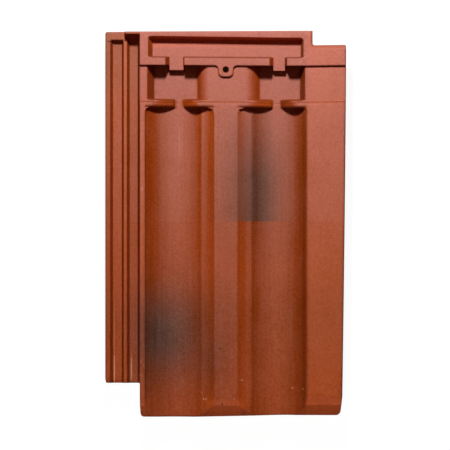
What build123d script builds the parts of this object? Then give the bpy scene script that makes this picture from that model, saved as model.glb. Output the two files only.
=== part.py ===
"""Interlocking clay roof tile: two water troughs beside a middle roll, a side lock and a head lock.

The tile lies face up as it would on a floor, with its head towards +Y and its side lock towards -X.
Heights are measured from the floor that its hanging nibs and front teeth stand on.
"""

import os
from math import sqrt

from build123d import *

# Overall sizes and the spacing of the laid tiles
tile_length = 462.0
tile_width = 290.0
cover_length = 378.0
cover_width = 249.0
clay = 11.0

# Heights
nib_drop = 13.0
trough_depth = 19.0
lap_step = 3.0
lap_clearance = 1.0
channel_depth = 11.0

# Middle roll and the troughs on both sides of it
roll_flat = 27.6
roll_rise = 8.1
roll_ledge = 8.1
rise_drop = 5.85
ledge_drop = 9.0
border_drop = 2.5
flap_drop = 7.8
flap_shoulder = 5.7
shoulder_radius = 6.0

# Side lock on the left
outer_rib = 6.0
groove_1 = 11.0
middle_rib = 4.0
groove_2 = 10.0
groove_depth = 7.0
lock_draft = 2.6
border_draft = 4.0
border_rib = 6.6
lock_setback = 40.5
lock_block = 12.0

# Cover flap on the right, with the ribs that drop into the next tile's grooves
flap_thickness = 10.0
flap_wall = 3.8
flap_taper = 4.9
flap_draft = 0.8
lock_clearance = 1.0
side_clearance = 2.0
rib_clearance = 2.4
leg_width = 8.0

# Head lock: rim, channel, drain gaps, second bar with its nail tongue, and pockets
rim_width = 7.0
channel_width = 24.0
channel_margin = 6.0
channel_taper = 10.0
second_bar = 10.6
drain_width = 15.0
drain_lip = 4.4
lip_margin = 0.6
nail_diameter = 7.4
nail_setback = 4.2
tongue_radius = 8.8
tongue_fillet = 4.0
crown_flat = 39.4
crown_offset = 1.7
crown_side = 18.0
pocket_draft = 7.0
pocket_margin = 2.0
pocket_sill = 3.0
notch_width = 40.2
notch_length = 16.2

# Bars that close the head end of the troughs
bar_width = 9.0
bar_slope = 2.8
bar_gap = 11.0
gap_offset = 2.2
bar_gap_height = 5.0
bar_round = 27.5

# Nose at the foot, front teeth and hanging nibs
nose_ease = 10.4
nose_ease_drop = 1.5
nose_bevel = 13.0
nose_bevel_drop = 10.5
lip_thickness = 12.0
tooth_width = 34.0
tooth_thickness = 12.0
tooth_setback = 4.0
nib_width = 34.0
nib_thickness = 14.0
batten_width = 48.0
foot_taper = 4.0

# Rounding left by the press
arris_radius = 0.8
edge_radius = 1.2
nose_radius = 2.0
corner_radius = 3.0

# Heights that follow
bearing_z = nib_drop
floor_z = bearing_z + clay
flat_z = floor_z + trough_depth
lap_z = flat_z - lap_step
channel_z = flat_z - channel_depth
lip_z = lap_z - (flat_z + lap_clearance - bearing_z)
flap_z = flat_z - flap_thickness
lock_z = flap_z - lock_clearance
groove_z = lock_z - groove_depth
lock_bottom_z = groove_z - clay

# Places along the tile
head_y = tile_length / 2
foot_y = -tile_length / 2
lap_y = foot_y + cover_length
sill_y = lap_y + pocket_sill
channel_y = head_y - rim_width - channel_width
pocket_y = channel_y - second_bar
nail_y = pocket_y - nail_setback
bar_y = sill_y - bar_width
nib_y = lap_y + batten_width
shoulder_y = head_y - notch_length

# Places across the tile
left_x = -tile_width / 2
right_x = tile_width / 2
groove_1_x = left_x + outer_rib + lock_draft
middle_rib_x = groove_1_x + groove_1 + lock_draft
groove_2_x = middle_rib_x + middle_rib + lock_draft
border_x = groove_2_x + groove_2 + border_draft
trough_left_x = border_x + border_rib
flap_x = left_x + cover_width - side_clearance
right_flat_x = flap_x - flap_wall
trough_right_x = right_flat_x - flap_shoulder
leg_x = border_x + leg_width
flap_leg_x = flap_x - leg_width
roll_x = (trough_left_x + right_flat_x) / 2


def both_sides(offset):
    """The places at one distance left and right of the middle of the roll."""
    return roll_x - offset, roll_x + offset


roll_flat_x = both_sides(roll_flat / 2)
rise_x = both_sides(roll_flat / 2 + roll_rise)
ledge_x = both_sides(roll_flat / 2 + roll_rise + roll_ledge)
crown_x = [x + crown_offset for x in both_sides(crown_flat / 2)]
crown_foot_x = [x + crown_offset for x in both_sides(crown_flat / 2 + crown_side)]


def trough_run(width, edge, ledge):
    """Distance from a trough's edge to its lowest line.

    Both ends lie on one circle that touches the floor, at the heights edge and ledge above it.
    """
    b = 2 * edge * width
    c = edge * (width**2 + ledge**2 - edge * ledge)
    return 2 * c / (b + sqrt(b**2 + 4 * (ledge - edge) * c))


edge_heights = (trough_depth - border_drop, trough_depth - flap_drop)
ledge_height = trough_depth - ledge_drop
trough_widths = (ledge_x[0] - trough_left_x, trough_right_x - ledge_x[1])
runs = [trough_run(width, edge, ledge_height) for width, edge in zip(trough_widths, edge_heights)]
radii = [(run**2 + edge**2) / (2 * edge) for run, edge in zip(runs, edge_heights)]
trough_x = (trough_left_x + runs[0], trough_right_x - runs[1])


def under_height(index, x):
    """Height of a trough's underside, one thickness of clay below its circle."""
    radius = radii[index] + clay
    return bearing_z + radius - sqrt(radius**2 - (x - trough_x[index]) ** 2)


def flap_underside():
    """Underside of the flap from its edge inwards, with a rib for each groove of the next tile."""
    points = [(right_x, flap_z)]
    for groove_x, groove in ((groove_2_x, groove_2), (groove_1_x, groove_1)):
        middle = groove_x + groove / 2 + cover_width
        tip = groove / 2 - rib_clearance
        root = tip + lock_clearance
        rib_z = flap_z - groove_depth + rib_clearance
        points += [(middle + root, flap_z), (middle + tip, rib_z)]
        points += [(middle - tip, rib_z), (middle - root, flap_z)]
    return points + [(flap_x, flap_z)]


# Bars across the head end of the troughs, rounded down to a gap that lets water through
with BuildPart() as trough_bars:
    for middle, outer, inner in (
        (trough_x[0] + gap_offset, trough_left_x, roll_flat_x[0]),
        (trough_x[1], right_flat_x, roll_flat_x[1]),
    ):
        for end in (outer, inner):
            toward = 1 if end > middle else -1
            gap_x = middle + toward * bar_gap / 2
            round_x = gap_x + toward * bar_round
            gap_z = floor_z + bar_gap_height
            with BuildSketch(Plane.XZ.offset(-sill_y)) as bar_face:
                with BuildLine():
                    EllipticalCenterArc(
                        (round_x, gap_z), bar_round, flat_z - gap_z, 90, arc_size=90 * toward
                    )
                    Polyline(
                        (round_x, flat_z),
                        (end, flat_z),
                        (end, bearing_z + clay / 2),
                        (gap_x, bearing_z + clay / 2),
                        (gap_x, gap_z),
                    )
                make_face()
            extrude(amount=bar_width + bar_slope)
    with BuildSketch(Plane.YZ.offset(left_x)) as bar_slope_face:
        with BuildLine():
            Polyline(
                (bar_y, flat_z),
                (bar_y - bar_slope, floor_z),
                (bar_y - bar_slope, bearing_z),
                (bar_y - 2 * bar_slope, bearing_z),
                (bar_y - 2 * bar_slope, flat_z),
                close=True,
            )
        make_face()
    extrude(amount=tile_width, mode=Mode.SUBTRACT)

with BuildPart() as roof_tile:
    # Exposed length: border rib, troughs, roll and right flat in one section
    with BuildSketch(Plane.XZ.offset(-sill_y)) as section:
        with BuildLine():
            border_edge = (trough_left_x, floor_z + edge_heights[0])
            flap_edge = (trough_right_x, floor_z + edge_heights[1])
            left_ledge = (ledge_x[0], floor_z + ledge_height)
            right_ledge = (ledge_x[1], floor_z + ledge_height)
            Polyline((border_x, lip_z), (border_x, flat_z), (trough_left_x, flat_z), border_edge)
            ThreePointArc(border_edge, (trough_x[0], floor_z), left_ledge)
            ThreePointArc(left_ledge, (rise_x[0], flat_z - rise_drop), (roll_flat_x[0], flat_z))
            Line((roll_flat_x[0], flat_z), (roll_flat_x[1], flat_z))
            ThreePointArc((roll_flat_x[1], flat_z), (rise_x[1], flat_z - rise_drop), right_ledge)
            ThreePointArc(right_ledge, (trough_x[1], floor_z), flap_edge)
            Polyline(
                flap_edge,
                (right_flat_x, flat_z),
                (right_x, flat_z),
                (right_x, lip_z),
                (border_x, lip_z),
            )
        make_face()
        upper_corners = section.vertices().filter_by_position(Axis.Z, floor_z, flat_z)
        inner_corners = upper_corners.filter_by_position(Axis.X, border_x - 1, right_x - 1).sort_by(Axis.X)
        fillet(inner_corners[:-1], radius=edge_radius)
        fillet(section.vertices().filter_by_position(Axis.X, right_flat_x, right_flat_x), radius=shoulder_radius)
    extrude(amount=sill_y - foot_y)
    add(trough_bars.part)

    # Lapped length at the head, which the next course covers
    with BuildSketch(Plane.XZ.offset(-head_y)) as lap_section:
        with BuildLine():
            Polyline((border_x, flat_z), (right_x, flat_z), *flap_underside())
            Polyline((flap_x, flap_z), (flap_x, bearing_z), (border_x, bearing_z), (border_x, flat_z))
        make_face()
    extrude(amount=head_y - sill_y)

    # Hollow underside behind the front lip, leaving an even thickness of clay
    with BuildSketch(Plane.XZ.offset(-sill_y)) as hollow:
        with BuildLine():
            left_top = (leg_x, under_height(0, leg_x))
            left_foot = (ledge_x[0], under_height(0, ledge_x[0]))
            right_foot = (ledge_x[1], under_height(1, ledge_x[1]))
            right_top = (flap_leg_x, under_height(1, flap_leg_x))
            Polyline((border_x, lip_z), (border_x, lock_bottom_z), (leg_x, lock_bottom_z), left_top)
            ThreePointArc(left_top, (trough_x[0], bearing_z), left_foot)
            Polyline(
                left_foot,
                (rise_x[0], flat_z - rise_drop - clay),
                (roll_flat_x[0], flat_z - clay),
                (roll_flat_x[1], flat_z - clay),
                (rise_x[1], flat_z - rise_drop - clay),
                right_foot,
            )
            ThreePointArc(right_foot, (trough_x[1], bearing_z), right_top)
            Polyline(
                right_top,
                (flap_leg_x, lock_bottom_z),
                (flap_x, lock_bottom_z),
                *reversed(flap_underside()),
                (right_x, lip_z),
                (border_x, lip_z),
            )
        make_face()
    extrude(amount=sill_y - foot_y - lip_thickness, mode=Mode.SUBTRACT)

    # Side lock: two grooves between three ribs
    with BuildSketch(Plane.XZ.offset(-head_y)) as lock_section:
        with BuildLine():
            Polyline(
                (border_x + edge_radius, flat_z - edge_radius),
                (border_x + edge_radius, lock_bottom_z),
                (left_x, lock_bottom_z),
                (left_x, lock_z),
                (left_x + outer_rib, lock_z),
                (groove_1_x, groove_z),
                (groove_1_x + groove_1, groove_z),
                (middle_rib_x, lock_z),
                (middle_rib_x + middle_rib, lock_z),
                (groove_2_x, groove_z),
                (groove_2_x + groove_2, groove_z),
                (border_x, flat_z - edge_radius),
                close=True,
            )
        make_face()
        rib_corners = lock_section.vertices().filter_by_position(Axis.Z, groove_z, lock_z)
        fillet(rib_corners, radius=edge_radius)
    extrude(amount=tile_length - lock_setback)

    # Head end of the side lock: a low block over the first groove, the rim over the second
    block_x = middle_rib_x + middle_rib / 2
    with BuildSketch(Plane.YZ.offset(left_x)) as corner_block:
        with Locations((head_y, lock_bottom_z)):
            Rectangle(lock_block, lock_z - lock_bottom_z, align=(Align.MAX, Align.MIN))
    extrude(amount=block_x - left_x)
    with BuildSketch(Plane.YZ.offset(block_x)) as rim_end:
        with BuildLine():
            Polyline(
                (head_y, lock_bottom_z),
                (head_y, flat_z),
                (head_y - border_draft, flat_z),
                (head_y - lock_block, groove_z),
                (head_y - lock_block, lock_bottom_z),
                close=True,
            )
        make_face()
    extrude(amount=border_x - block_x)

    # Lower flat that the next course rests on, from the second bar to the lap line
    with BuildSketch(Plane.XY.offset(lap_z)) as lap_flat:
        with Locations((border_x, lap_y)):
            Rectangle(right_x - border_x, pocket_y - lap_y, align=(Align.MIN, Align.MIN))
    extrude(amount=lap_step, mode=Mode.SUBTRACT)

    # Pockets on both sides of the round crown, for the front teeth of the next course
    pocket_floors = []
    for crown, foot, outer, draft, start_angle in (
        (crown_x[0], crown_foot_x[0], trough_left_x + pocket_margin, pocket_draft, 90),
        (crown_x[1], crown_foot_x[1], right_flat_x - pocket_margin, -pocket_draft, 0),
    ):
        with BuildSketch(Plane.XZ.offset(-pocket_y)) as pocket:
            with BuildLine():
                EllipticalCenterArc((crown, floor_z), crown_side, lap_z - floor_z, start_angle, arc_size=90)
                Polyline(
                    (foot, floor_z),
                    (outer + draft, floor_z),
                    (outer, lap_z),
                    (crown, lap_z),
                )
            make_face()
        extrude(amount=pocket_y - sill_y, mode=Mode.SUBTRACT)
        pocket_floors.append((foot + outer + draft) / 2)

    # Lips that carry the drain gaps out over the pockets
    with BuildSketch(Plane.XY.offset(floor_z)) as lips:
        with Locations(*((x, pocket_y) for x in pocket_floors)):
            Rectangle(drain_width + 2 * lip_margin, drain_lip, align=(Align.CENTER, Align.MAX))
    extrude(amount=channel_z - floor_z)

    # Head channel and the drain gaps through the second bar
    with BuildSketch(Plane.XY.offset(channel_z)) as channel:
        with Locations((trough_left_x + channel_margin, channel_y)):
            Rectangle(
                right_flat_x - trough_left_x - 2 * channel_margin,
                channel_width,
                align=(Align.MIN, Align.MIN),
            )
        with Locations(*((x, channel_y + corner_radius) for x in pocket_floors)):
            drain_length = corner_radius + second_bar + drain_lip + corner_radius
            Rectangle(drain_width, drain_length, align=(Align.CENTER, Align.MAX))
        fillet(channel.vertices(), radius=corner_radius)
    extrude(amount=channel_depth, taper=-channel_taper, mode=Mode.SUBTRACT)

    # Rounded tongue for the nail, on the foot side of the second bar
    with BuildSketch(Plane.XY.offset(lap_z)) as tongue:
        with Locations((roll_x, pocket_y)):
            Rectangle(4 * tongue_radius, second_bar / 2, align=(Align.CENTER, Align.MIN))
            Rectangle(2 * tongue_radius, nail_setback, align=(Align.CENTER, Align.MAX))
        with Locations((roll_x, nail_y)):
            Circle(tongue_radius)
        bar_corners = tongue.vertices().group_by(Axis.Y)[-2]
        fillet(bar_corners.sort_by(Axis.X)[1:3], radius=tongue_fillet)
    extrude(amount=lap_step)

    # Hollow under the crown, and the thinner underside of the head channel behind the batten
    with BuildSketch(Plane.XZ.offset(-nib_y)) as crown_hollow:
        with BuildLine():
            Polyline(
                (crown_foot_x[0] + clay, bearing_z),
                (crown_x[0] + clay / 2, lap_z - clay),
                (crown_x[1] - clay / 2, lap_z - clay),
                (crown_foot_x[1] - clay, bearing_z),
                close=True,
            )
        make_face()
    extrude(amount=nib_y - sill_y, mode=Mode.SUBTRACT)
    with BuildSketch(Plane.XY.offset(bearing_z)) as head_hollow:
        with Locations((leg_x, nib_y)):
            Rectangle(flap_leg_x - leg_x, head_y - rim_width - nib_y, align=(Align.MIN, Align.MIN))
        fillet(head_hollow.vertices(), radius=corner_radius)
    extrude(amount=channel_z - clay - bearing_z, mode=Mode.SUBTRACT)

    # Notch in the shoulder that clears the rim of the next tile
    with BuildSketch() as notch:
        with Locations((right_x, head_y)):
            Rectangle(notch_width, notch_length, align=(Align.MAX, Align.MAX))
        fillet(notch.vertices().sort_by(Axis.X)[:2].sort_by(Axis.Y)[0], radius=corner_radius)
    extrude(amount=flat_z, mode=Mode.SUBTRACT)

    # Hanging nibs behind the batten and teeth behind the nose, all down to the floor
    with BuildSketch() as nibs:
        with Locations(*((x, nib_y) for x in pocket_floors)):
            Rectangle(nib_width, nib_thickness, align=(Align.CENTER, Align.MIN))
        fillet(nibs.vertices(), radius=corner_radius)
    extrude(amount=channel_z - clay / 2)
    with BuildSketch() as teeth:
        with Locations(*((x, foot_y + tooth_setback) for x in pocket_floors)):
            Rectangle(tooth_width, tooth_thickness, align=(Align.CENTER, Align.MIN))
        fillet(teeth.vertices(), radius=corner_radius)
    extrude(amount=bearing_z + clay / 4, taper=-foot_taper)

    # Nose eased and then bevelled down to the front lip
    with BuildSketch(Plane.YZ.offset(left_x)) as nose:
        with BuildLine():
            bevel_y = foot_y + nose_bevel
            Polyline(
                (bevel_y + nose_ease, flat_z),
                (bevel_y, flat_z - nose_ease_drop),
                (foot_y, flat_z - nose_ease_drop - nose_bevel_drop),
                (foot_y, flat_z),
                close=True,
            )
        make_face()
    extrude(amount=tile_width, mode=Mode.SUBTRACT)

    # Edge of the flap, drafted and drawn in towards the foot
    edge_run = Vector(-flap_taper, foot_y - shoulder_y)
    edge_plane = Plane(
        (right_x, shoulder_y, flat_z), x_dir=(-edge_run.Y, edge_run.X, 0), z_dir=(edge_run.X, edge_run.Y, 0)
    )
    with BuildSketch(edge_plane) as edge_cut:
        with BuildLine():
            Polyline(
                (0, 0),
                (-flap_draft, -flap_thickness),
                (-flap_draft, -flat_z),
                (2 * flap_taper, -flat_z),
                (2 * flap_taper, 0),
                close=True,
            )
        make_face()
    extrude(amount=tile_length, mode=Mode.SUBTRACT)

    # Soft edges: outline corners, nose, feet, and the top of the rim, bars and tongue
    upright = roof_tile.edges().filter_by(Axis.Z)
    foot_corner = upright.filter_by_position(Axis.Y, foot_y, foot_y).sort_by(Axis.X)[0]
    lock_corners = upright.filter_by_position(Axis.X, left_x, left_x)
    fillet([foot_corner, *lock_corners], radius=corner_radius)
    front = roof_tile.edges().filter_by_position(Axis.Y, foot_y, foot_y)
    nose_edges = front.filter_by(Axis.Z, reverse=True).filter_by_position(Axis.Z, floor_z, flat_z)
    fillet(nose_edges, radius=nose_radius)
    fillet(roof_tile.edges().group_by(Axis.Z)[0], radius=edge_radius)
    top_edges = roof_tile.edges().filter_by_position(Axis.Z, flat_z, flat_z)
    head_edges = top_edges.filter_by_position(Axis.Y, nail_y - tongue_radius, head_y)
    fillet(head_edges.filter_by_position(Axis.X, left_x, right_x - corner_radius), radius=arris_radius)

    # Nail hole through the tongue
    with Locations((roll_x, nail_y, flat_z)):
        Hole(nail_diameter / 2)

roof_tile.part.label = "roof_tile"
os.makedirs("parts", exist_ok=True)
export_step(roof_tile.part, "parts/roof_tile.step")
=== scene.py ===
import math

import bpy
import numpy as np
from mathutils import Matrix, Vector


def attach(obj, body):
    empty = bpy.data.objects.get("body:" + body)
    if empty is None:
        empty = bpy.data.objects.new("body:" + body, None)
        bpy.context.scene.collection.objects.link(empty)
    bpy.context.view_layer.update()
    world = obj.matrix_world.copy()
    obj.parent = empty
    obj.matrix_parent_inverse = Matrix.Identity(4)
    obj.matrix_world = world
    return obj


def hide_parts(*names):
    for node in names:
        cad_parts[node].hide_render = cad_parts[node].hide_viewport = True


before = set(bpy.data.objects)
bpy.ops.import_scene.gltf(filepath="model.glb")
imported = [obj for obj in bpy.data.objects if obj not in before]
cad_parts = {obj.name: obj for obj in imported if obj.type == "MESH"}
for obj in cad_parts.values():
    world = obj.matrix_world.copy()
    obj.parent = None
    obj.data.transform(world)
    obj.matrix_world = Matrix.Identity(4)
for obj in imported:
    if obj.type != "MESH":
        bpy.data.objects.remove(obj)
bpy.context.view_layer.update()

# The tile body: one piece of roofing clay, pressed between two moulds, trimmed, dried and fired.
# The upper mould leaves the troughs, the roll, the head lock and the side lock, the lower one the
# hollow underside with its nibs and teeth. Lengths are in millimetres until the mesh is filled.
left_x, right_x, head_y, foot_y = -145.0, 145.0, 231.0, -231.0
flat_z, lap_z, channel_z, floor_z = 43.0, 40.0, 32.0, 24.0
trough_depth, pocket_depth, channel_depth = flat_z - floor_z, lap_z - floor_z, flat_z - channel_z


def ramp(value, start, end):
    """0 before start, 1 after end, straight in between; start may be the larger."""
    return np.clip((value - start) / (end - start), 0.0, 1.0)


def bell(value, middle, width):
    """exp(-t * t), t being the distance from the middle in widths."""
    return np.exp(-(((value - middle) / width) ** 2))


def rounded_off(over, radius):
    """Drop of a quarter-round edge: 0 where over is 0, the radius where over is 1."""
    return radius * (1.0 - np.sqrt(1.0 - over**2))


# Water troughs, the flat roll between them with its hollow sides, and the rounded shoulder of the flap
roll_x, roll_flat_x = 1.3, (-12.5, 15.1)
cove_width, cove_drop = 16.2, 9.0
ledge_x, trough_edge_x = (-28.7, 31.3), (-95.6, 92.5)
trough_x, trough_r = (-58.6, 61.1), (49.7, 49.5)
shoulder_x, shoulder_z, shoulder_rise = 96.4, 40.5, 1.38
shoulder_flat_x, shoulder_r = 101.3, 6.0


def cove(away):
    """Hollow side of the roll: steep beside its flat, nearly level where the trough begins."""
    t = np.clip(1.0 - away / cove_width, 0.0, 1.0)
    return flat_z - cove_drop + cove_drop * (0.4 * t + 0.6 * t * t)


def round_trough(x, side, bottom_z, r):
    """Lower half of a circle of radius r about the middle of a trough, with its lowest point at bottom_z."""
    return bottom_z + r - np.sqrt(np.maximum(r * r - (x - trough_x[side]) ** 2, 0.0))


def trough_section(x):
    """Section across the exposed length: two round troughs, coved sides of the roll and the flats."""
    away = np.where(x < roll_x, roll_flat_x[0] - x, x - roll_flat_x[1])
    z = np.where(away > 0.0, cove(away), flat_z)
    left = round_trough(x, 0, floor_z, trough_r[0])
    right = round_trough(x, 1, floor_z, trough_r[1])
    z = np.where((x > trough_edge_x[0]) & (x < ledge_x[0]), left, z)
    z = np.where((x > ledge_x[1]) & (x <= trough_edge_x[1]), right, z)
    z = np.where(x > trough_edge_x[1], shoulder_z + shoulder_rise * (x - shoulder_x), z)
    turned = flat_z - shoulder_r + np.sqrt(np.maximum(shoulder_r**2 - (x - shoulder_flat_x) ** 2, 0.0))
    z = np.where(x > shoulder_x, turned, z)
    return np.where((x <= trough_edge_x[0]) | (x >= shoulder_flat_x), flat_z, z)


# Bars across the trough heads: each curves down to a drain gap, and its foot edge is rounded
bar_y, bar_foot_y, bar_round = 140.0, 138.8, 3.4
gap_x, gap_half, bar_level = (-56.4, 61.1), 5.5, (33.0, 27.0)
bar_drop, bar_curve = (15.0, 16.5), (1.3, 1.7)
side_corner, roll_corner, flap_corner_x = 6.0, 10.0, 100.0
lap_y, score_back, score_depth, score_width = 147.0, 1.6, 0.3, 0.6


def bar_top(x, y):
    """Top of the bars: level, then a drop that is a power of the way t towards the gap."""
    z = np.full_like(x, flat_z)
    for middle in gap_x:
        from_left = ramp(x, middle - bar_level[0], middle - gap_half) * (x < middle)
        from_right = ramp(x, middle + bar_level[1], middle + gap_half) * (x >= middle)
        z -= bar_drop[0] * from_left ** bar_curve[0]
        z -= bar_drop[1] * from_right ** bar_curve[1]
        z = np.where(np.abs(x - middle) < gap_half, floor_z, z)
    over = ramp(y, bar_y + bar_round, bar_y)
    return np.maximum(z - rounded_off(over, bar_round), floor_z)


def head_corner(x, y, edge, toward, radius, side_z):
    """Fillet in plan between a trough's side and the bar at its head.

    The distance d in from the rounded corner drives the height. It follows the trough's own side
    next to the side and the bar's steep wall next to the bar, mixed by the angle round the corner.
    """
    to_side = np.maximum(radius - (x - edge) * toward, 0.0)
    to_bar = np.maximum(radius - (bar_y - y), 0.0)
    d = radius - np.hypot(to_side, to_bar)
    steep = to_bar**2 / np.maximum(to_bar**2 + to_side**2, 1e-9)
    wall_z = flat_z - trough_depth * ramp(d, 0.0, bar_y - bar_foot_y)
    z = (1.0 - steep) * np.interp(d, side_z[0], side_z[1]) + steep * wall_z
    inside = (to_side > 0.0) & (to_bar > 0.0) & ((x - edge) * toward > 0) & (y < bar_y)
    return np.where(inside, z, 0.0)


def exposed_form(x, y):
    """Highest of the trough section, the bars and the four corner fillets, less the line scored at the lap.

    Each fillet takes the height of its own side by the distance in from the side's edge.
    """
    bars = np.minimum(bar_top(x, y), floor_z + trough_depth * ramp(y, bar_foot_y, bar_y))
    z = np.maximum(trough_section(x), bars)
    across = np.linspace(0.0, cove_width, 9)
    roll_side = across, cove(across)
    border_side = [0.0, 0.4, 3.0, 6.0], [43.0, 40.4, 37.5, 34.9]
    flap_side = [0.0, 1.0, 3.5, 7.5], [42.9, 42.2, 40.3, 35.1]
    for edge, toward, radius, side_z in (
        (trough_edge_x[0], 1, side_corner, border_side),
        (roll_flat_x[0], -1, roll_corner, roll_side),
        (roll_flat_x[1], 1, roll_corner, roll_side),
        (flap_corner_x, -1, side_corner, flap_side),
    ):
        z = np.maximum(z, head_corner(x, y, edge, toward, radius, side_z))
    return z - score_depth * bell(y, lap_y - score_back, score_width)


# Head lock: pockets on both sides of a round crown, a second bar with a tongue and a nail hole, and a
# channel behind it that drains over a lip into each pocket
sill_y, lip_y, pocket_y, channel_foot_y, rim_y = 150.0, 183.7, 189.4, 200.0, 222.9
pocket_wall_x, pocket_floor_x = (-93.6, 96.2), (-86.6, 89.2)
crown_x, crown_side, crown_curve = (-16.7, 22.7), 18.0, 2.2
bar_2_round, tongue_half, tongue_fillet = 1.0, 8.8, 5.0
nail_y, nail_r = 185.2, 3.7
channel_side_x, channel_side_run = (-92.0, 94.4), (4.2, 3.6)
channel_foot_run, channel_head_run, channel_corner, rim_slip = 0.4, 2.2, 1.6, 1.0
drain_x, drain_half, lip_half = (-59.1, 64.6), (8.4, 6.9), (9.1, 7.6)
drain_left_run, drain_right_run, drain_into = 3.8, (2.0, 3.2), 2.0


def pocket_section(x):
    """Section through the pockets: drafted outer walls, flat floors, the round crown between."""
    left_side = ramp(x, crown_x[0], crown_x[0] - crown_side)
    right_side = ramp(x, crown_x[1], crown_x[1] + crown_side)
    crown = lap_z - pocket_depth * np.maximum(left_side, right_side) ** crown_curve
    left = np.maximum(lap_z - pocket_depth * ramp(x, pocket_wall_x[0], pocket_floor_x[0]), crown)
    right = np.maximum(lap_z - pocket_depth * ramp(x, pocket_wall_x[1], pocket_floor_x[1]), crown)
    return np.where(x < crown_x[0], left, np.where(x > crown_x[1], right, lap_z))


def second_bar(x, y, z):
    """Puts the second bar on z: a rounded foot edge, and a tongue with a concave fillet at each root."""
    beside = np.abs(x - roll_x) - tongue_half
    over = ramp(y, pocket_y + bar_2_round, pocket_y) * ((x > pocket_wall_x[0]) & (x < pocket_wall_x[1]))
    over = over * ramp(beside, 0.0, tongue_fillet)
    z = np.where(y > pocket_y, flat_z - rounded_off(over, bar_2_round), z)
    corner = np.hypot(beside - tongue_fillet, y - pocket_y + tongue_fillet)
    root = (beside < tongue_fillet) & (y > pocket_y - tongue_fillet) & (corner > tongue_fillet)
    tongue = np.where(beside > 0.0, root, y > nail_y - tongue_half)
    return np.where(tongue & (y <= pocket_y), flat_z, z)


def channel_form(x, y):
    """Channel and drains: full depth where the way in from the walls, in widths of the wall, reaches 1."""
    sides = np.minimum(
        (x - channel_side_x[0]) / channel_side_run[0], (channel_side_x[1] - x) / channel_side_run[1]
    )
    ends = np.minimum(
        (y - channel_foot_y + channel_foot_run) / channel_foot_run, (rim_y + rim_slip - y) / channel_head_run
    )
    corner = np.hypot(np.maximum(channel_corner - sides, 0.0), np.maximum(channel_corner - ends, 0.0))
    in_corner = (sides < channel_corner) & (ends < channel_corner)
    way_in = np.where(in_corner, channel_corner - corner, np.minimum(sides, ends))
    for middle, half, right_run in zip(drain_x, drain_half, drain_right_run):
        from_left = (x - middle + half + drain_left_run) / drain_left_run
        drain = np.minimum(from_left, (middle + half + right_run - x) / right_run)
        way_in = np.maximum(way_in, np.where(y < channel_foot_y + drain_into, drain, -1.0))
    return flat_z - channel_depth * np.clip(way_in, 0.0, 1.0)


# Side lock: two grooves between low ribs, closed by a slope at the head and stopping short of the foot
border_x, lock_end_y = -102.2, -190.5
rib_z, groove_z, middle_rib_x = 32.0, 25.0, -120.8
lock_edge_x = (-139.0, -136.4, -125.4, -122.8, -118.8, -116.2, -106.2)
outer_groove_head, inner_groove_head = (216.5, 219.5), (219.0, 227.0)
nose_y, nose_drop = (-207.6, -218.0), (2.5, 9.5)


def lock_form(x, y):
    """Outer rib, groove, middle rib, groove and wall of the border, or the slope at a groove's head."""
    heights = [rib_z, groove_z, groove_z, rib_z, rib_z, groove_z, groove_z, flat_z]
    outer = groove_z + (rib_z - groove_z) * ramp(y, *outer_groove_head)
    inner = groove_z + (flat_z - groove_z) * ramp(y, *inner_groove_head)
    section = np.interp(x, [*lock_edge_x, border_x], heights)
    return np.maximum(section, np.where(x < middle_rib_x, outer, inner))


def face_form(x, y):
    """Height of the weathered face before softening, built up from the foot to the head."""
    z = exposed_form(x, y)
    z = np.where(y > lap_y, np.minimum(z, lap_z), z)
    z = np.where(y > sill_y, pocket_section(x), z)
    for middle, half in zip(drain_x, lip_half):
        on_lip = (np.abs(x - middle) < half) & (y > lip_y)
        z = np.where(on_lip, np.maximum(z, channel_z), z)
    z = second_bar(x, y, z)
    z = np.where(y > lip_y, np.minimum(z, channel_form(x, y)), z)
    z = np.where(x < border_x, lock_form(x, y), z)
    nose = flat_z - nose_drop[0] * ramp(y, *nose_y) - nose_drop[1] * ramp(y, nose_y[1], foot_y)
    return np.minimum(z, nose)


# Underside: an even thickness of clay, ribs under the flap, a front lip with two teeth, and two nibs that
# hang on the batten with a hollow behind them
bearing_z, clay, leg_x = 13.0, 11.0, (-94.2, 94.0)
rise_x, ledge_under_z, rise_under_z, roll_under_z = (-20.6, 23.2), 20.9, 26.15, 32.0
flap_x, flap_z, flap_rib_z, lock_bottom_z = 102.0, 33.0, 28.4, 14.0
flap_rib_x = (114.0, 115.0, 121.2, 122.2), (134.2, 135.2, 140.4, 141.4)
crown_under_x, crown_under_z = (-23.7, -11.2, 17.2, 29.7), 29.0
hollow_z, hollow_head_y = 21.0, 224.5
nib_x, nib_y, nib_head_y, nib_half, nib_corner = (-60.65, 64.95), 195.0, 209.0, 17.0, 3.0
tooth_y, tooth_head_y, lip_head_y, lip_z = -227.0, -215.0, -219.0, 9.0


def flap_under(x):
    """Underside of the flap: level, with a rib for each groove of the next tile."""
    rib = [flap_z, flap_rib_z, flap_rib_z, flap_z]
    return np.interp(x, [*flap_rib_x[0], *flap_rib_x[1]], rib + rib)


def under_section(x):
    """Section of the hollow underside: legs, an even thickness of clay, flap ribs, lock bottom."""
    places = [ledge_x[0], rise_x[0], roll_flat_x[0], roll_flat_x[1], rise_x[1], ledge_x[1]]
    heights = [ledge_under_z, rise_under_z, roll_under_z, roll_under_z, rise_under_z, ledge_under_z]
    z = np.interp(x, places, heights)
    z = np.where(x < ledge_x[0], round_trough(x, 0, bearing_z, trough_r[0] + clay), z)
    z = np.where(x > ledge_x[1], round_trough(x, 1, bearing_z, trough_r[1] + clay), z)
    z = np.where((x < leg_x[0]) | (x > leg_x[1]), lock_bottom_z, z)
    return np.where(x > flap_x, flap_under(x), z)


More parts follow.
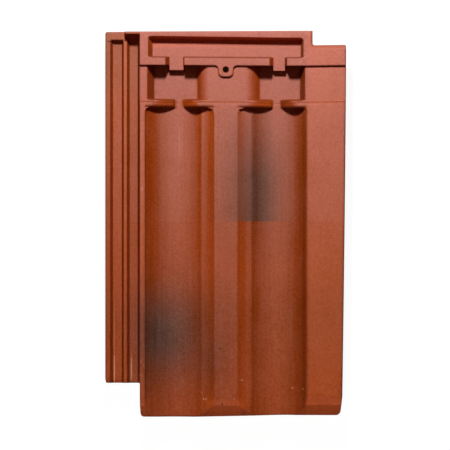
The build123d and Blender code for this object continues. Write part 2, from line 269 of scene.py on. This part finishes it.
def inside_round(x, y, low, high, radius):
    """Distance inside an upright rectangle with rounded corners, negative outside it."""
    ox = np.abs(x - (low[0] + high[0]) / 2) - (high[0] - low[0]) / 2 + radius
    oy = np.abs(y - (low[1] + high[1]) / 2) - (high[1] - low[1]) / 2 + radius
    outer = np.hypot(np.maximum(ox, 0.0), np.maximum(oy, 0.0))
    return radius - outer - np.minimum(np.maximum(ox, oy), 0.0)


def under_form(x, y):
    """Height of the underside before softening, built up from the foot to the head.

    A tooth's sides rise from the floor to the bearing level over 1 mm outside its outline.
    """
    z = under_section(x)
    crown = np.interp(x, crown_under_x, [bearing_z, crown_under_z, crown_under_z, bearing_z])
    lapped = np.where(y < nib_y, crown, bearing_z)
    hollow = inside_round(x, y, (leg_x[0], nib_y), (leg_x[1], hollow_head_y), nib_corner)
    lapped = np.where(hollow > 0, hollow_z, lapped)
    lapped = np.where(x > flap_x, flap_under(x), lapped)
    z = np.where(y > sill_y, lapped, z)
    z = np.where(y < lip_head_y, lip_z, z)
    z = np.where(x < border_x, lock_bottom_z, z)
    for middle in nib_x:
        low, high = middle - nib_half, middle + nib_half
        nib = inside_round(x, y, (low, nib_y), (high, nib_head_y), nib_corner)
        z = np.where(nib > 0.0, 0.0, z)
        tooth = inside_round(x, y, (low, tooth_y), (high, tooth_head_y), nib_corner)
        z = np.minimum(z, np.where(tooth > -1.0, np.maximum(-tooth * bearing_z, 0.0), np.inf))
    return z


def softened(form, x, y, reach):
    """Average of a sharp form over a small bell-weighted patch, as wet clay follows its mould."""
    steps = np.linspace(-2.0, 2.0, 7)
    weights = np.exp(-(steps**2) / 2.0)
    weights /= weights.sum()
    z = np.zeros_like(x)
    for across, share_x in zip(steps, weights):
        for along, share_y in zip(steps, weights):
            z += share_x * share_y * form(x + reach * across, y + reach * along)
    return z


# Grid of the skin, with its lines gathered where the forms above turn
notch_x, notch_y = 104.8, 214.6
kiln_line_y = 3.3


def grid_lines(ends, crisp, soft, plain, step):
    """Places of the grid lines: four about a crisp edge, two about a soft one, even lines in the gaps."""
    fine = np.concatenate([
        np.add.outer(np.array(crisp), np.array([-0.85, -0.3, 0.3, 0.85])).ravel(),
        np.add.outer(np.array(soft), np.array([-0.4, 0.4])).ravel(),
    ])
    exact = np.concatenate([np.array(ends), np.array(plain)])
    fine = fine[np.abs(fine[:, None] - exact[None, :]).min(axis=1) > 0.28]
    fine = np.sort(np.concatenate([fine, exact]))
    spread = np.concatenate([[True], np.diff(fine) > 0.2])
    fine = fine[(spread | np.isin(fine, exact)) & (fine >= ends[0]) & (fine <= ends[-1])]
    counts = np.ceil(np.diff(fine) / step).astype(int)
    parts = [start + gap * np.arange(n) / n for start, gap, n in zip(fine, np.diff(fine), counts)]
    return np.concatenate(parts + [fine[-1:]])


ring = np.array([nail_r, 4.7, 5.7, 6.8, 7.9, 8.5, 9.1, 9.7, 10.8, 12.0, 13.5, 15.0])
hole_lines = np.linspace(-nail_r, nail_r, 7)[1:-1]
drain_edges = [-71.3, -67.5, -50.7, -48.7, 53.9, 57.7, 71.5, 74.7]
left_turns = [-91.9, -87.8, -61.9, -50.9, -43.7, -34.7, -32.5, -25.0, -23.7, -17.0]
right_turns = [19.6, 25.3, 27.6, 29.7, 38.5, 40.7, 47.9, 55.6, 66.6, 82.0, 90.8, 94.5, 96.3, 98.2, 99.6]
flap_ribs = [114.5, 121.7, 134.7, 140.9]
xs = grid_lines(
    ends=[left_x, left_x + 0.3, left_x + 0.9, border_x, notch_x, right_x - 0.9, right_x - 0.3, right_x],
    crisp=[*lock_edge_x, border_x + 0.9, trough_edge_x[0], *ledge_x, *roll_flat_x, *drain_edges],
    soft=[border_x, pocket_wall_x[0], *pocket_floor_x, *left_turns, *rise_x, *right_turns, trough_edge_x[1],
          flap_x, *flap_ribs],
    plain=roll_x + np.concatenate([-ring, hole_lines, ring]),
    step=3.4,
)
trough_head_lines = [131.0, 134.0, 136.2, 137.6, 142.8, 144.4, 145.1, 145.7]
head_lock_lines = [191.3, 198.1, 201.6, 203.8, 206.0]
ys = grid_lines(
    ends=[foot_y, foot_y + 0.4, foot_y + 1.1, lock_end_y, notch_y, head_y - 0.9, head_y - 0.3, head_y],
    crisp=[nose_y[1], bar_foot_y, bar_y, lap_y, sill_y, lip_y, pocket_y, 199.8, 221.7, 223.9],
    soft=[-226.5, -215.5, nose_y[0], lock_end_y, kiln_line_y, 151.6, 187.6, nib_y, nib_head_y, 217.0, 219.5,
          221.8, 227.0],
    plain=np.concatenate([
        nail_y + np.concatenate([-ring, hole_lines, [nail_r]]),
        np.array(trough_head_lines + head_lock_lines),
    ]),
    step=5.2,
)


def round_ring(x, y, centre, sizes, corners, toward=(0, 0)):
    """Bends square rings of grid points about a centre into squares with round corners.

    A ring's half size rho is the larger of a point's two offsets, and its corner radius is read at
    rho from the given sizes and corners. A point in a corner moves along its ray to the corner's
    arc; toward keeps the move to one quadrant.
    """
    a, b = x - centre[0], y - centre[1]
    rho = np.maximum(np.abs(a), np.abs(b))
    away = np.maximum(np.hypot(a, b), 1e-9)
    corner = np.interp(rho, sizes, corners)
    straight = rho - corner
    along = straight * (np.abs(a) + np.abs(b)) / away
    arc = along + np.sqrt(np.maximum(along**2 - 2.0 * straight**2 + corner**2, 0.0))
    turned = (np.minimum(np.abs(a), np.abs(b)) > straight) & (a * toward[0] >= 0) & (b * toward[1] >= 0)
    scale = np.where(turned, arc / away, 1.0)
    return centre[0] + a * scale, centre[1] + b * scale


grid_x, grid_y = np.meshgrid(xs, ys, indexing="ij")
middle_x, middle_y = np.meshgrid((xs[1:] + xs[:-1]) / 2, (ys[1:] + ys[:-1]) / 2, indexing="ij")
kept = ~((middle_x < border_x) & (middle_y < lock_end_y))
kept &= ~((middle_x > notch_x) & (middle_y > notch_y))
kept &= ~((np.abs(middle_x - roll_x) < nail_r) & (np.abs(middle_y - nail_y) < nail_r))

# Distance in from the trimmed outline, which rounds the top and bottom edges over
lock_notch = np.hypot(np.maximum(grid_x - border_x, 0.0), np.maximum(grid_y - lock_end_y, 0.0))
head_notch = np.hypot(np.maximum(notch_x - grid_x, 0.0), np.maximum(notch_y - grid_y, 0.0))
inset = np.minimum.reduce(
    [grid_x - left_x, right_x - grid_x, grid_y - foot_y, head_y - grid_y, lock_notch, head_notch]
)

# Plan of the tile: a round nail hole, rounded corners, and the flap edge drawn in towards the foot
plan_x, plan_y = round_ring(
    grid_x, grid_y, (roll_x, nail_y), [0.0, nail_r, tongue_half, 12.0], [0.0, nail_r, 5.6, 0.0]
)
for corner_x, corner_y, toward_x, toward_y, corner in (
    (left_x, head_y, -1, 1, 3.0),
    (left_x, lock_end_y, -1, -1, 3.0),
    (border_x, foot_y, -1, -1, 4.0),
    (right_x, foot_y, 1, -1, 6.0),
    (right_x, notch_y, 1, 1, 1.5),
):
    centre = (corner_x - toward_x * corner, corner_y - toward_y * corner)
    plan_x, plan_y = round_ring(plan_x, plan_y, centre, [0.0, corner], [0.0, corner], (toward_x, toward_y))
notch_corner = 3.0
plan_x, plan_y = round_ring(
    plan_x, plan_y, (notch_x + notch_corner, notch_y + notch_corner),
    [0.0, notch_corner, 3.0 * notch_corner], [0.0, notch_corner, 0.0], (-1, -1),
)
flap_taper, foot_taper = 4.9, 2.6
edge_x = right_x - flap_taper * ramp(plan_y, notch_y, foot_y) ** 1.4
edge_x -= foot_taper * ramp(plan_y, -213.0, foot_y)
drawn_in = flap_x + (plan_x - flap_x) * (edge_x - flap_x) / (right_x - flap_x)
plan_x = np.where(plan_x > flap_x, drawn_in, plan_x)

# The mould sat a little askew at the head, and the foot was trimmed shorter on the right
head_tilt, flap_tilt, rim_tilt, pocket_slip, foot_trim = 0.0105, 0.0085, 0.007, 0.75, 2.5
askew = head_tilt * np.minimum(plan_x, 70.0) - flap_tilt * np.maximum(plan_x - 80.0, 0.0)
askew += rim_tilt * np.clip(plan_x, -95.0, 95.0) * ramp(plan_y, 206.0, 222.0)
askew += pocket_slip * ramp(plan_y, 190.0, 150.0)
plan_y = plan_y - askew * ramp(plan_y, 60.0, 110.0) * ramp(plan_y, head_y, 225.0)
plan_y = plan_y + foot_trim * ramp(plan_x, -40.0, 70.0) * ramp(plan_y, -185.0, foot_y)

face_edge, under_edge, press_softness = 1.0, 0.8, 0.3
face_z = softened(face_form, grid_x, grid_y, press_softness)
face_z -= rounded_off(ramp(inset, face_edge, 0.0), face_edge)
under_z = softened(under_form, grid_x, grid_y, press_softness)
under_z += rounded_off(ramp(inset, under_edge, 0.0), under_edge)

# Skin: the face, the underside turned the other way, and walls of four rows round every rim. The
# front lip's right end is drafted in below.
rows, lip_draft = 4, 3.2
count = grid_x.size
index = np.arange(count).reshape(grid_x.shape)
cells = np.stack([index[:-1, :-1], index[1:, :-1], index[1:, 1:], index[:-1, 1:]], axis=-1)[kept]
padded = np.pad(kept, 1)
rims = []
for turn, (shift_x, shift_y) in enumerate(((0, -1), (1, 0), (0, 1), (-1, 0))):
    beside = np.roll(padded, (-shift_x, -shift_y), axis=(0, 1))[1:-1, 1:-1]
    rims.append(cells[~beside[kept]][:, [turn, (turn + 1) % 4]])
rims = np.concatenate(rims)
rim_points = np.unique(rims)
start, end = np.searchsorted(rim_points, rims[:, 0]), np.searchsorted(rim_points, rims[:, 1])
face_points = np.stack([plan_x, plan_y, face_z], axis=-1).reshape(-1, 3)
drafted_x = plan_x - lip_draft * ramp(plan_x, flap_x, right_x) * ramp(plan_y, -208.0, lip_head_y)
under_points = np.stack([drafted_x, plan_y, under_z], axis=-1).reshape(-1, 3)
levels = [rim_points]
wall_points = []
for row in range(1, rows):
    share = row / rows
    wall_points.append(face_points[rim_points] * (1 - share) + under_points[rim_points] * share)
    levels.append(2 * count + (row - 1) * len(rim_points) + np.arange(len(rim_points)))
levels.append(rim_points + count)
quads = [cells, cells[:, ::-1] + count]
for upper, lower in zip(levels, levels[1:]):
    quads.append(np.stack([lower[start], lower[end], upper[end], upper[start]], axis=-1))
quads = np.concatenate(quads)
points = np.concatenate([face_points, under_points, *wall_points]) / 1000.0
used, quads = np.unique(quads, return_inverse=True)
quads = quads.reshape(-1, 4)
points = points[used]

tile_mesh = bpy.data.meshes.new("roof_tile_clay")
tile_mesh.from_pydata(points.tolist(), [], quads.tolist())
tile_mesh.polygons.foreach_set("use_smooth", np.ones(len(quads), bool))
tile_mesh.set_sharp_from_angle(angle=math.radians(50.0))
tile_mesh.update()
tile = bpy.data.objects.new("roof_tile_clay", tile_mesh)
bpy.context.scene.collection.objects.link(tile)

# Colour of the fired skin, one value a point: the raw clay is a deep orange, with painted light and shade
# in its tone; level faces carry a thin pale film and a painted sheen that grow towards the head, and three
# smoky flashes are left by the kiln.
normals = np.empty(len(points) * 3, np.float32)
tile_mesh.vertex_normals.foreach_get("vector", normals)
normal_x, normal_y, normal_z = normals[0::3], normals[1::3], normals[2::3]
upper = (used < count).astype(np.float32)
at_x, at_y, at_z = points[:, 0] * 1000.0, points[:, 1] * 1000.0, points[:, 2] * 1000.0
from_roll = np.abs(at_x - roll_x)
middle = ramp(at_x, -98.0, -93.0) * ramp(at_x, 101.0, 96.0)
lock = ramp(at_x, -101.0, -104.0)

# Tone across the tile: the troughs are darker than the border and the flap, and painted shade darkens the
# side lock, more on its inner groove and outer rib and less on its middle rib
border_tone, flap_dull, trough_dull = 1.06, 0.06, 0.19
lock_painted_shade, inner_groove_shade, outer_rib_shade, rib_lift = 0.14, 0.09, 0.06, 0.13
tone = border_tone - flap_dull * ramp(at_x, 96.0, 102.0) - trough_dull * middle
tone -= lock * (lock_painted_shade + inner_groove_shade * ramp(at_x, -121.0, -117.0) + outer_rib_shade * ramp(at_x, -136.0, -141.0))
tone += rib_lift * bell(at_x, middle_rib_x, 2.4)

# Tone along the tile: painted light makes the head a little paler and painted shade makes the foot darker,
# but not the slope of its nose, as the head lamp's light falls off. The head of the border is darker, the
# roll's nose paler.
head_painted_light, border_dull, foot_painted_shade, nose_roll_lift = 0.05, 0.15, 0.13, 0.12
above_nose = np.maximum(ramp(at_y, -212.0, -208.0), at_z < 36.0)
tone *= 1.0 + head_painted_light * ramp(at_y, 110.0, 208.0) * ramp(at_x, -125.0, -118.0)
tone *= 1.0 - border_dull * ramp(at_y, 90.0, 180.0) * ramp(at_x, -95.0, -97.0) * (1.0 - lock)
tone *= 1.0 - foot_painted_shade * ramp(at_y, -55.0, -105.0) * above_nose
tone *= 1.0 + nose_roll_lift * ramp(from_roll, 22.0, 15.0) * ramp(at_y, -207.0, -210.0)

# Painted shade darkens slopes that face the roll. Painted light makes slopes that face away paler on the
# roll and in the head lock, and painted shade makes them darker elsewhere on the right.
inward = -normal_x * np.sign(at_x - roll_x) * (1.0 - lock)
inward_painted_shade = 0.3 + 0.15 * (at_x > roll_x)
outward_light_and_shade = np.where((from_roll < 28.0) | (at_y > bar_y), 0.15, -0.3 * (at_x > roll_x))
tone *= 1.0 - inward_painted_shade * np.maximum(inward, 0.0)
tone *= 1.0 + outward_light_and_shade * np.maximum(-inward, 0.0)

# Pocket floors and the lock's head are duller. Painted shade darkens the groove sides, the cross walls
# and the rims of the outline; painted light makes the channel's head and its head wall paler.
pocket_dull, groove_side_shade, lock_head_dull = 0.07, 0.3, 0.18
channel_head_painted_light, rim_painted_shade, rim_width = 0.5, 0.35, 0.7
tone *= 1.0 - pocket_dull * (at_z < 30.0) * ramp(at_y, 148.0, 152.0) * middle
tone *= 1.0 - groove_side_shade * lock * ramp(normal_z, 0.8, 0.5)
tone *= 1.0 - lock_head_dull * lock * ramp(at_y, 140.0, 205.0) * (1.0 - bell(at_x, middle_rib_x, 3.2))
at_channel_head = (middle + lock * (at_x > -117.0)) * (at_z < 41.0) * ramp(at_y, 213.0, 217.0)
tone *= 1.0 + channel_head_painted_light * at_channel_head
cross_wall = upper * ramp(np.abs(normal_y), 0.2, 0.7) * ramp(at_y, -195.0, -180.0)
cross_wall_shade_and_light = np.where(at_y > 208.0, -0.3, 0.4)
tone *= 1.0 - cross_wall_shade_and_light * cross_wall
arris = np.concatenate([inset.ravel(), inset.ravel(), np.zeros((rows - 1) * len(rim_points))])[used]
tone *= 1.0 - rim_painted_shade * upper * np.exp(-arris / rim_width)
raw_clay = np.array([0.335, 0.052, 0.004])
colour = tone[:, None] * raw_clay

# Pale film with painted sheen: on level faces it grows towards the head, painting the head lamp's sheen.
# It steps a little at kiln_line_y, runs down the left trough in one trickle, and is missing from slopes
# whose normal is flatter than bare_slope
sheen_and_film = 0.042 + 0.135 * at_y / 1000.0 + 0.005 * np.sign(at_y - kiln_line_y)
sheen_and_film += 0.02 * bell(at_x, -55.7, 1.8) * ramp(at_y, 70.0, 95.0) * ramp(at_y, 140.0, 115.0)
right_cove = (np.abs(at_x - roll_x - 15.0) < 16.0) & (at_y > kiln_line_y)
bare_slope = np.where(right_cove, 0.6, 0.84)
bare_slope = np.where(at_y > bar_foot_y, 0.87, bare_slope)
bare_slope = np.where(at_y > sill_y, 0.55, bare_slope)
sheen_and_film = np.clip(sheen_and_film, 0.0, 1.0) * ramp(normal_z, bare_slope, 1.0) * upper * (1.0 - 0.35 * lock)
sheen_and_film += 0.02 * (1.0 - upper)
sheen_and_film_blue = 0.95 + (0.17 - 0.25 * lock) * ramp(at_y, 0.0, 200.0)
sheen_and_film_blue -= 0.2 * ramp(at_y, 0.0, -120.0) * ramp(at_x, 20.0, 60.0)


def flash(x, y, left, right, along, strength):
    """Smoke stain: bell shaped about (x, y), with its own width to the left, the right and along."""
    across = np.where(at_x < x, (at_x - x) / left, (at_x - x) / right)
    return strength * np.exp(-0.5 * (across**2 + ((at_y - y) / along) ** 2))


soot, endless = np.array([0.018, 0.026, 0.022]), 1e6
left_flash = flash(-84.0, -133.5, 18.0, 46.0, 40.0, 0.75)
weak_flash = flash(-22.5, -160.0, 20.0, 20.0, 28.0, 0.4)
right_flash = flash(39.5, 40.0, 26.0, 19.0, endless, 0.66) * ramp(at_y, 156.0, 54.0) ** 1.1
right_flash *= np.where(at_y > kiln_line_y, 1.0, 0.18 * ramp(at_y, -60.0, -10.0))
smoke = np.maximum(np.maximum(left_flash, weak_flash), right_flash) * upper
colour += smoke[:, None] * (soot - colour)
sheen_and_film *= 1.0 - 0.5 * smoke
colour += np.column_stack([sheen_and_film, sheen_and_film, sheen_and_film * sheen_and_film_blue])
skin_colour = tile_mesh.attributes.new("skin_colour", "FLOAT_COLOR", "POINT")
skin_values = np.column_stack([colour, np.ones(len(points))])
skin_colour.data.foreach_set("color", skin_values.astype(np.float32).ravel())
upper_face = tile_mesh.attributes.new("upper_face", "FLOAT", "POINT")
upper_face.data.foreach_set("value", upper)
drawn = (0.05 + 0.13 * middle) * ramp(at_y, 150.0, 110.0)
drawn_share = tile_mesh.attributes.new("drawn_share", "FLOAT", "POINT")
drawn_share.data.foreach_set("value", drawn.astype(np.float32))

clay_skin = bpy.data.materials.new("fired_clay")
clay_skin.use_nodes = True
tree = clay_skin.node_tree
shader = tree.nodes["Principled BSDF"]
shader.inputs["Specular IOR Level"].default_value = 0.15
place = tree.nodes.new("ShaderNodeTexCoord").outputs["Object"]


def node_math(operation, first, second, third=0.0):
    """One math node; each input is a socket or a number."""
    node = tree.nodes.new("ShaderNodeMath")
    node.operation = operation
    for socket, value in zip(node.inputs, (first, second, third)):
        if isinstance(value, bpy.types.NodeSocket):
            tree.links.new(value, socket)
        else:
            socket.default_value = value
    return node.outputs[0]


def grain(scale, detail):
    """Noise about zero on object coordinates, with its own number of grains per metre on each axis."""
    stretch = tree.nodes.new("ShaderNodeMapping")
    stretch.inputs["Scale"].default_value = scale
    noise = tree.nodes.new("ShaderNodeTexNoise")
    noise.inputs["Scale"].default_value = 1.0
    noise.inputs["Detail"].default_value = detail
    tree.links.new(place, stretch.inputs["Vector"])
    tree.links.new(stretch.outputs[0], noise.inputs["Vector"])
    return node_math("SUBTRACT", noise.outputs[0], 0.5)


def point_value(name):
    """Node that reads one of the mesh's own attributes."""
    node = tree.nodes.new("ShaderNodeAttribute")
    node.attribute_name = name
    return node


# Sand grains, streaks drawn along the tile by the press, and broad unevenness from the firing. The
# colour is the skin's, times 1 + gain * shade, plus lift * shade.
sand_share, cloud_share, shade_gain, shade_lift = 0.42, 0.16, 0.75, 0.09
sand = grain((430.0, 430.0, 430.0), 3.0)
streak = grain((430.0, 11.0, 90.0), 2.0)
cloud = grain((42.0, 30.0, 42.0), 2.0)
streaks = node_math("MULTIPLY", streak, point_value("drawn_share").outputs["Fac"])
shade = node_math("MULTIPLY_ADD", sand, sand_share, streaks)
shade = node_math("MULTIPLY_ADD", cloud, cloud_share, shade)
uneven = tree.nodes.new("ShaderNodeVectorMath")
uneven.operation = "MULTIPLY_ADD"
tree.links.new(point_value("skin_colour").outputs["Color"], uneven.inputs[0])
tree.links.new(node_math("MULTIPLY_ADD", shade, shade_gain, 1.0), uneven.inputs[1])
tree.links.new(node_math("MULTIPLY", shade, shade_lift), uneven.inputs[2])
painted = uneven.outputs[0]

# Small marks on the face: crumbs, scuffs, scratches, hair cracks and painted highlights along the side
# lock's grooves, as ellipses in millimetres: middle x and y, half sizes, turn in degrees, colour and strength
face_only = point_value("upper_face").outputs["Fac"]
pale, white, dark = (0.50, 0.24, 0.15), (0.62, 0.40, 0.30), (0.05, 0.012, 0.005)
mark_ragged, mark_outer, mark_inner = 1.6, 1.15, 0.65
for x, y, half_x, half_y, turned, paint, strength in (
    (-99.4, 42.0, 0.9, 3.2, 0.0, pale, 0.65),
    (-99.8, 108.3, 0.8, 1.4, 0.0, pale, 0.6),
    (-56.0, 98.0, 0.7, 19.0, 2.0, pale, 0.25),
    (-26.0, -209.4, 0.8, 1.5, 0.0, pale, 0.7),
    (-23.2, -209.6, 0.8, 1.4, 0.0, pale, 0.6),
    (20.4, -186.6, 1.7, 0.7, 0.0, pale, 0.7),
    (80.0, -196.1, 1.2, 1.0, 0.0, pale, 0.5),
    (93.2, -197.0, 0.9, 1.1, 0.0, pale, 0.6),
    (-28.4, -201.3, 0.9, 1.0, 0.0, pale, 0.35),
    (10.9, -208.8, 1.1, 0.8, 0.0, pale, 0.4),
    # painted highlights: pale streaks along the left edges of the side lock's two grooves, in the next three
    # marks
    (-134.6, -175.0, 0.8, 18.0, 0.0, white, 0.4),
    (-134.8, -130.0, 0.6, 40.0, 0.0, pale, 0.3),
    (-114.1, -173.0, 0.9, 18.0, 0.0, white, 0.35),
    (-100.6, -165.0, 0.7, 1.0, 0.0, pale, 0.5),
    (-97.8, -168.6, 0.6, 1.2, 0.0, pale, 0.45),
    (-101.4, -180.6, 1.6, 0.7, 0.0, pale, 0.45),
    (98.0, 200.4, 3.6, 0.6, 20.0, pale, 0.5),
    (91.4, 194.2, 0.6, 5.0, -30.0, pale, 0.45),
    (-5.6, -149.2, 1.6, 1.5, 0.0, dark, 0.7),
    (-3.2, -215.6, 1.4, 1.3, 0.0, dark, 0.9),
    (136.6, 189.6, 1.3, 0.9, 0.0, dark, 0.6),
    (-139.6, 219.4, 3.4, 0.9, -12.0, dark, 0.85),
    (-119.6, 229.0, 1.0, 1.6, 0.0, dark, 0.6),
    (-67.7, 228.2, 0.5, 3.0, 3.0, dark, 0.45),
    (41.1, 228.2, 0.5, 3.0, -4.0, dark, 0.5),
):
    turn_in = tree.nodes.new("ShaderNodeMapping")
    turn_in.vector_type = "TEXTURE"
    turn_in.inputs["Location"].default_value = (x / 1000.0, y / 1000.0, 0.0)
    turn_in.inputs["Rotation"].default_value = (0.0, 0.0, math.radians(turned))
    turn_in.inputs["Scale"].default_value = (half_x / 1000.0, half_y / 1000.0, 1.0)
    tree.links.new(place, turn_in.inputs["Vector"])
    reach = tree.nodes.new("ShaderNodeVectorMath")
    reach.operation = "LENGTH"
    tree.links.new(turn_in.outputs[0], reach.inputs[0])
    ragged = node_math("MULTIPLY_ADD", sand, mark_ragged, reach.outputs["Value"])
    spot = tree.nodes.new("ShaderNodeMapRange")
    spot.inputs["From Min"].default_value = mark_outer
    spot.inputs["From Max"].default_value = mark_inner
    spot.inputs["To Max"].default_value = strength
    tree.links.new(ragged, spot.inputs["Value"])
    blend = tree.nodes.new("ShaderNodeMix")
    blend.data_type = "RGBA"
    blend.inputs["B"].default_value = (*paint, 1.0)
    tree.links.new(node_math("MULTIPLY", spot.outputs[0], face_only), blend.inputs["Factor"])
    tree.links.new(painted, blend.inputs["A"])
    painted = blend.outputs["Result"]
tree.links.new(painted, shader.inputs["Base Color"])

# Matt skin whose gloss varies a little, with a fine sanded relief
matt, matt_change, streak_relief = 0.62, 0.25, 0.6
tree.links.new(node_math("MULTIPLY_ADD", cloud, matt_change, matt), shader.inputs["Roughness"])
relief = tree.nodes.new("ShaderNodeBump")
relief.inputs["Strength"].default_value = 0.35
relief.inputs["Distance"].default_value = 0.0003
tree.links.new(node_math("MULTIPLY_ADD", streak, streak_relief, sand), relief.inputs["Height"])
tree.links.new(relief.outputs[0], shader.inputs["Normal"])
tile_mesh.materials.append(clay_skin)
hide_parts("roof_tile")
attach(tile, "root")

# The floor: a plain pale surface that the tile stands on, in nine panels. To the camera it glows white
# and keeps a thin shadow; the middle panel lies under the tile and doesn't glow in the nail hole.
floor_mesh = bpy.data.meshes.new("floor")
half_floor = 6.0
panel_x = np.array([-half_floor, -0.09, 0.09, half_floor])
panel_y = np.array([-half_floor, -0.17, 0.215, half_floor])
floor_x, floor_y = np.meshgrid(panel_x, panel_y, indexing="ij")
floor_points = np.stack([floor_x, floor_y, 0 * floor_x], axis=-1).reshape(-1, 3)
number = np.arange(floor_x.size).reshape(floor_x.shape)
panels = np.stack([number[:-1, :-1], number[1:, :-1], number[1:, 1:], number[:-1, 1:]], axis=-1)
floor_mesh.from_pydata(floor_points.tolist(), [], panels.reshape(-1, 4).tolist())
floor = bpy.data.objects.new("floor", floor_mesh)
bpy.context.scene.collection.objects.link(floor)
floor_paint = bpy.data.materials.new("pale_floor")
floor_paint.use_nodes = True
tree = floor_paint.node_tree
tree.nodes.remove(tree.nodes["Principled BSDF"])
output = tree.nodes["Material Output"]
path = tree.nodes.new("ShaderNodeLightPath")
plain = tree.nodes.new("ShaderNodeBsdfDiffuse")
plain.inputs["Color"].default_value = (0.2, 0.2, 0.2, 1.0)
thin = tree.nodes.new("ShaderNodeBsdfDiffuse")
thin.inputs["Color"].default_value = (0.1, 0.1, 0.1, 1.0)
glow = tree.nodes.new("ShaderNodeEmission")
glow.inputs["Strength"].default_value = 0.95
seen = tree.nodes.new("ShaderNodeAddShader")
mix = tree.nodes.new("ShaderNodeMixShader")
tree.links.new(thin.outputs[0], seen.inputs[0])
tree.links.new(glow.outputs[0], seen.inputs[1])
mirrored = node_math("MAXIMUM", path.outputs["Is Glossy Ray"], path.outputs["Is Transmission Ray"])
tree.links.new(node_math("MAXIMUM", path.outputs["Is Camera Ray"], mirrored), mix.inputs[0])
tree.links.new(plain.outputs[0], mix.inputs[1])
tree.links.new(seen.outputs[0], mix.inputs[2])
tree.links.new(mix.outputs[0], output.inputs["Surface"])
floor_mesh.materials.append(floor_paint)
shaded_floor = bpy.data.materials.new("shaded_floor")
shaded_floor.use_nodes = True
shaded_floor.node_tree.nodes["Principled BSDF"].inputs["Base Color"].default_value = (0.8, 0.8, 0.8, 1.0)
floor_mesh.materials.append(shaded_floor)
middle_panel = 4
floor_mesh.polygons[middle_panel].material_index = 1

# The studio: one soft lamp beyond the head of the tile, a weak one beyond its foot, and a weak warm
# room light in the shadows. Each lamp has a place, an aim, a size, a spread in degrees and a power.
scene = bpy.context.scene
scene.view_settings.view_transform = "Standard"
room = bpy.data.worlds.new("room")
room.use_nodes = True
room.node_tree.nodes["Background"].inputs["Color"].default_value = (1.0, 0.28, 0.08, 1.0)
room.node_tree.nodes["Background"].inputs["Strength"].default_value = 0.08
scene.world = room
for name, place, aim, size, spread, power in (
    ("head_lamp", (0.0, 0.83, 0.78), (0.0, 0.0, 0.0), (0.12, 0.12), 180.0, 16.3),
    ("foot_lamp", (0.0, -0.60, 0.46), (0.0, -0.225, 0.03), (0.70, 0.12), 45.0, 0.31),
):
    lamp = bpy.data.lights.new(name, "AREA")
    lamp.shape = "RECTANGLE"
    lamp.size, lamp.size_y = size
    lamp.spread = math.radians(spread)
    lamp.energy = power
    lamp_object = bpy.data.objects.new(name, lamp)
    lamp_object.location = place
    lamp_object.rotation_euler = (Vector(aim) - Vector(place)).to_track_quat("-Z", "Y").to_euler()
    scene.collection.objects.link(lamp_object)

# The camera: a long lens almost straight above, a little to the right and towards the foot. The frame
# is frame_width metres wide at the target, which is on the level of the tile's flats.
distance, frame_width, film_width = 6.0, 0.5383, 36.0
to_right, to_foot = math.radians(5.0), math.radians(0.3)
back = Vector((math.tan(to_right), -math.tan(to_foot), 1.0)).normalized()
up = (Vector((0.0, 1.0, 0.0)) - back * back.y).normalized()
right = up.cross(back)
target = Vector((0.0004, -0.0010, 0.043))
camera_data = bpy.data.cameras.new("camera")
camera_data.sensor_width = film_width
camera_data.lens = film_width * distance / frame_width
camera = bpy.data.objects.new("camera", camera_data)
turn = Matrix((right, up, back)).transposed().to_4x4()
camera.matrix_world = Matrix.Translation(target + back * distance) @ turn
scene.collection.objects.link(camera)
scene.camera = camera
